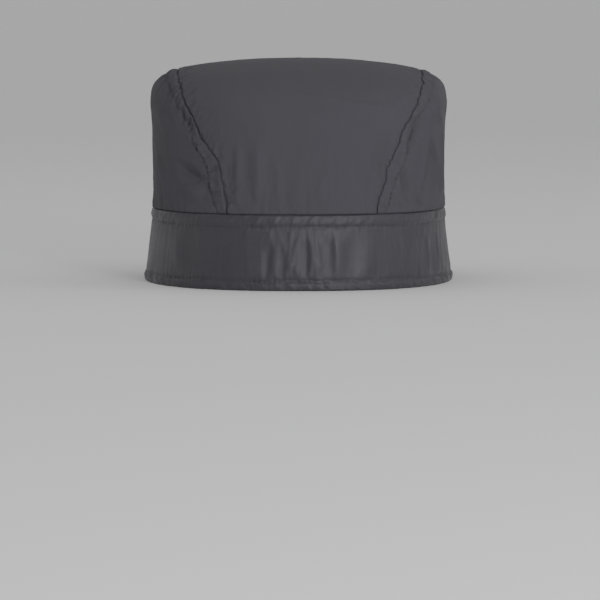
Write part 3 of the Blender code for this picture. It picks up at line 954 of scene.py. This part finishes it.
class SKULLCAP_OT_side_panels(bpy.types.Operator):
    """Sew the panel over each ear, its edge turned in along the seam."""

    bl_idname = "skullcap.side_panels"
    bl_label = "Side Panels"
    rows = 340
    columns = 76
    tip_angle = 20.0

    def cut(self, side):
        along = even_stations(lambda t: seam_point(RIGHT, t), -1, 1, self.rows)
        strip = [0.0, 0.00008, 0.00025, *np.linspace(0.0006, 0.0126, 20)]
        beside = [beside_seam(side, along, np.full(len(along), d)) for d in strip]
        inner = beside[-1]
        front_angle = angle_of(inner[0])
        back_angle = angle_of(inner[-1])
        front_turn = front_angle + side * self.tip_angle
        back_turn = back_angle - side * self.tip_angle
        outer = arc_on_foot(front_turn, back_turn, self.rows)
        front = arc_on_foot(front_angle, front_turn, self.columns)
        back = arc_on_foot(back_angle, back_turn, self.columns)
        field = relax(fill_between(inner, outer, front, back), 400)
        return np.concatenate([np.stack(beside[:-1], 1), field], 1)

    def execute(self, context):
        for side, name in ((LEFT, "side_panel_left"), (RIGHT, "side_panel_right")):
            bm = bmesh.new()
            lay_sheet(bm, self.cut(side))
            run_down_behind_band(bm)
            thicken(bm)
            mesh = mesh_from(bm, name + "_cloth")
            places = form_over_head(
                mesh, lambda at: side_cloth_lift(side, at),
                lambda at: side_thickness(np.maximum(from_seam(side, at)[0], 0)))
            give_weave(mesh, cloth_place(places))
            piece = add_piece(name + "_cloth", mesh, crown_material())
            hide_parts(name)
        return {"FINISHED"}


class SKULLCAP_OT_band(bpy.types.Operator):
    """Sew the band, with a topstitched strip along its top edge and a roped hem."""

    bl_idname = "skullcap.band"
    bl_label = "Band"
    stations = 700

    def execute(self, context):
        cap = settings()
        edge = np.array([0.0, 0.00008, 0.00025, 0.0006])
        field = np.linspace(0.0011, cap.band_height - 0.0011, 50)
        heights = np.concatenate([edge, field, cap.band_height - edge[::-1]])
        rings = ring_at(heights)
        rings[0] = RIM_RING
        rings[-1] = 1.0
        angles = even_stations(lambda a: disc_point(a, RIM_RING), -180, 180, self.stations)
        disc = disc_point(angles[:, None], rings[None, :])
        bm = bmesh.new()
        lay_sheet(bm, disc)
        bmesh.ops.remove_doubles(bm, verts=bm.verts[:], dist=1e-6)
        thicken(bm)
        mesh = mesh_from(bm, "band_cloth")

        def wall(at):
            height = head_form(at)[:, 2]
            from_edge = np.minimum(height, cap.band_height - height)
            share = np.clip(from_edge / (cap.band_thickness / 2), 0, 1)
            turned_in = 1 - ease((height - cap.hem_height - 0.0014) / 0.0008)
            thick = cap.band_thickness + turned_in * cap.cloth_thickness
            return thick * np.sqrt(np.maximum(1 - (1 - share)**2, 0.01))

        places = form_over_head(mesh, band_lift, wall, rim_rise)
        give_weave(mesh, np.stack([round_the_band(places), head_form(places)[:, 2]], -1))
        cloth = woven_cloth("band_cloth", cap.band_colour)
        piece = add_piece("band_cloth", mesh, cloth)
        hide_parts("band")
        return {"FINISHED"}


def sew(name, rows):
    """Rows of stitches through disc points at their lifts, each one a thread lying on the cloth."""
    cap = settings()
    one = bmesh.new()
    bmesh.ops.create_uvsphere(one, u_segments=6, v_segments=5, radius=1.0)
    template = mesh_from(one, name + "_one")
    bm = bmesh.new()
    shaped = []
    for disc, lift in rows:
        sewn = as_sewn(disc)
        up = outward(cloth_form, sewn)
        points = cloth_form(sewn) + lift[:, None] * up
        run = np.diff(points, axis=0)
        reach = np.linalg.norm(run, axis=1)
        ahead = unit(run)
        across = unit(np.cross(up[:-1], ahead))
        above = np.cross(ahead, across)
        middle = (points[:-1] + points[1:]) / 2
        for i in range(len(run)):
            bm.from_mesh(template)
            shaped += [middle[i] + cap.thread_radius * (v.co.x * across[i] + v.co.y * above[i])
                       + 0.46 * reach[i] * v.co.z * ahead[i] for v in template.vertices]
    for vertex, place in zip(bm.verts, shaped):
        vertex.co = place
    bpy.data.meshes.remove(template)
    return add_piece(name, mesh_from(bm, name), thread_material())


def seam_row(side, inside):
    """Disc points of a seam's topstitching, and their lift on the outer or inner face."""
    cap = settings()
    length = seam_length(side)
    count = round(length / cap.stitch_length)
    along = even_stations(lambda t: seam_point(side, t), -1, 1, count)
    travelled = np.linspace(0, length, count + 1)
    width = strip_width_at(side, travelled)
    disc = beside_seam(side, along, width)
    lift = side_cloth_lift(side, disc)
    if inside:
        lift = lift - side_thickness(width) - CLOTH_GAP - cap.cloth_thickness
    return disc, lift


class SKULLCAP_OT_crown_stitches(bpy.types.Operator):
    """Sew the rows of stitches beside the two seams, seen outside and inside."""

    bl_idname = "skullcap.crown_stitches"
    bl_label = "Crown Stitches"

    def execute(self, context):
        for side, name in ((LEFT, "left_seam_stitches"), (RIGHT, "right_seam_stitches")):
            sew(name, [seam_row(side, inside) for inside in (False, True)])
        return {"FINISHED"}


class SKULLCAP_OT_band_stitches(bpy.types.Operator):
    """Sew the rows of stitches under the band's top edge and above its hem."""

    bl_idname = "skullcap.band_stitches"
    bl_label = "Band Stitches"

    def execute(self, context):
        cap = settings()
        rows = (("band_top_stitches", top_row_height, cap.band_thickness),
                ("hem_stitches", hem_row_height, cap.band_thickness + cap.cloth_thickness))
        for name, row_height, wall in rows:
            ring = float(ring_at(row_height(0.0)))
            count = round(math.pi * (cap.rim_width + cap.rim_length) / 2 / cap.stitch_length)
            angles = even_stations(lambda a: disc_point(a, ring), -180, 180, count)
            heights = row_height(round_the_band(disc_point(angles, ring)))
            disc = disc_point(angles, ring_at(heights))
            lift = band_lift(disc)
            sew(name, [(disc, lift), (disc, lift - wall)])
        return {"FINISHED"}


# Stage

AIM = Vector((0.0, 0.0, 0.06))
LIGHTS = [
    # name, place, size, watts
    ("side", (1.9, -0.55, 0.65), 0.4, 3.0),
    ("front", (0.7, -1.95, 0.4), 0.5, 16.0),
    ("top", (0.0, 0.2, 2.2), 1.6, 4.0),
]


def add_area_light(name, place, size, power):
    light = bpy.data.lights.new(name, "AREA")
    light.shape = "DISK"
    light.size = size
    light.energy = power
    lamp = add_object(name, light)
    lamp.location = place
    lamp.rotation_euler = (AIM - Vector(place)).to_track_quat("-Z", "Y").to_euler()


class SKULLCAP_OT_stage(bpy.types.Operator):
    """Set up the pale floor, the studio lights and the camera."""

    bl_idname = "skullcap.stage"
    bl_label = "Stage"
    floor_radius = 4.0
    floor_curve = 2.0
    floor_height = 3.5
    camera_elevation = 2.0
    camera_distance = 2.0
    camera_lens = 217.0

    def add_floor(self):
        bm = bmesh.new()
        flat = self.floor_radius
        curve = self.floor_curve
        profile = [(0.001, 0.0), (0.5, 0.0), (2.5, 0.0), (flat, 0.0)]
        profile += [(flat + curve * math.sin(a), curve - curve * math.cos(a))
                    for a in np.linspace(0.15, math.pi / 2, 10)]
        profile.append((flat + curve, self.floor_height))
        verts = [bm.verts.new((r, 0.0, z)) for r, z in profile]
        edges = [bm.edges.new(pair) for pair in zip(verts[:-1], verts[1:])]
        bmesh.ops.spin(bm, geom=verts + edges, angle=2 * math.pi, steps=96, use_merge=True,
                       axis=(0, 0, 1), cent=(0, 0, 0))
        bmesh.ops.recalc_face_normals(bm, faces=bm.faces[:])
        if sum(face.normal.z * face.calc_area() for face in bm.faces) < 0:
            bmesh.ops.reverse_faces(bm, faces=bm.faces[:])
        mesh = mesh_from(bm, "studio_floor")
        mesh.shade_smooth()
        material, _, shader = new_material("studio_floor")
        shader.inputs["Base Color"].default_value = (*settings().floor_colour, 1.0)
        shader.inputs["Roughness"].default_value = 0.9
        mesh.materials.append(material)
        floor = add_object("studio_floor", mesh)

    def add_camera(self):
        elevation = math.radians(self.camera_elevation)
        back = Vector((0.0, -math.cos(elevation), math.sin(elevation)))
        place = Vector((0.0, 0.0, 0.061)) + self.camera_distance * back
        look = Vector((0.0008, 0.0, -0.012))
        data = bpy.data.cameras.new("camera")
        data.lens = self.camera_lens
        data.clip_start = 0.05
        camera = add_object("camera", data)
        camera.location = place
        camera.rotation_euler = (look - place).to_track_quat("-Z", "Y").to_euler()
        bpy.context.scene.camera = camera

    def execute(self, context):
        self.add_floor()
        self.add_camera()
        for light in LIGHTS:
            add_area_light(*light)
        world = bpy.data.worlds.new("studio")
        world.use_nodes = True
        background = world.node_tree.nodes["Background"]
        background.inputs["Color"].default_value = (1.0, 1.0, 1.0, 1.0)
        background.inputs["Strength"].default_value = 0.5
        bpy.context.scene.world = world
        return {"FINISHED"}


OPERATORS = (
    SKULLCAP_OT_centre_panel,
    SKULLCAP_OT_side_panels,
    SKULLCAP_OT_band,
    SKULLCAP_OT_crown_stitches,
    SKULLCAP_OT_band_stitches,
    SKULLCAP_OT_stage,
)


class SKULLCAP_PT_panel(bpy.types.Panel):
    """The cap's pieces, sizes and colours."""

    bl_idname = "SKULLCAP_PT_panel"
    bl_label = "Skull Cap"
    bl_space_type = "VIEW_3D"
    bl_region_type = "UI"
    bl_category = "Skull Cap"

    def draw(self, context):
        for operator in OPERATORS:
            self.layout.operator(operator.bl_idname)
        for name in CapSettings.__annotations__:
            self.layout.prop(settings(), name)


CLASSES = (CapSettings, *OPERATORS, SKULLCAP_PT_panel)


def register():
    for each in CLASSES:
        bpy.utils.register_class(each)
    bpy.types.Scene.skull_cap = bpy.props.PointerProperty(type=CapSettings)


def unregister():
    del bpy.types.Scene.skull_cap
    for each in reversed(CLASSES):
        bpy.utils.unregister_class(each)


def main():
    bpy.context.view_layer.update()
    register()
    bpy.ops.skullcap.centre_panel()
    bpy.ops.skullcap.side_panels()
    bpy.ops.skullcap.band()
    bpy.ops.skullcap.crown_stitches()
    bpy.ops.skullcap.band_stitches()
    bpy.ops.skullcap.stage()


if __name__ == "__main__":
    main()
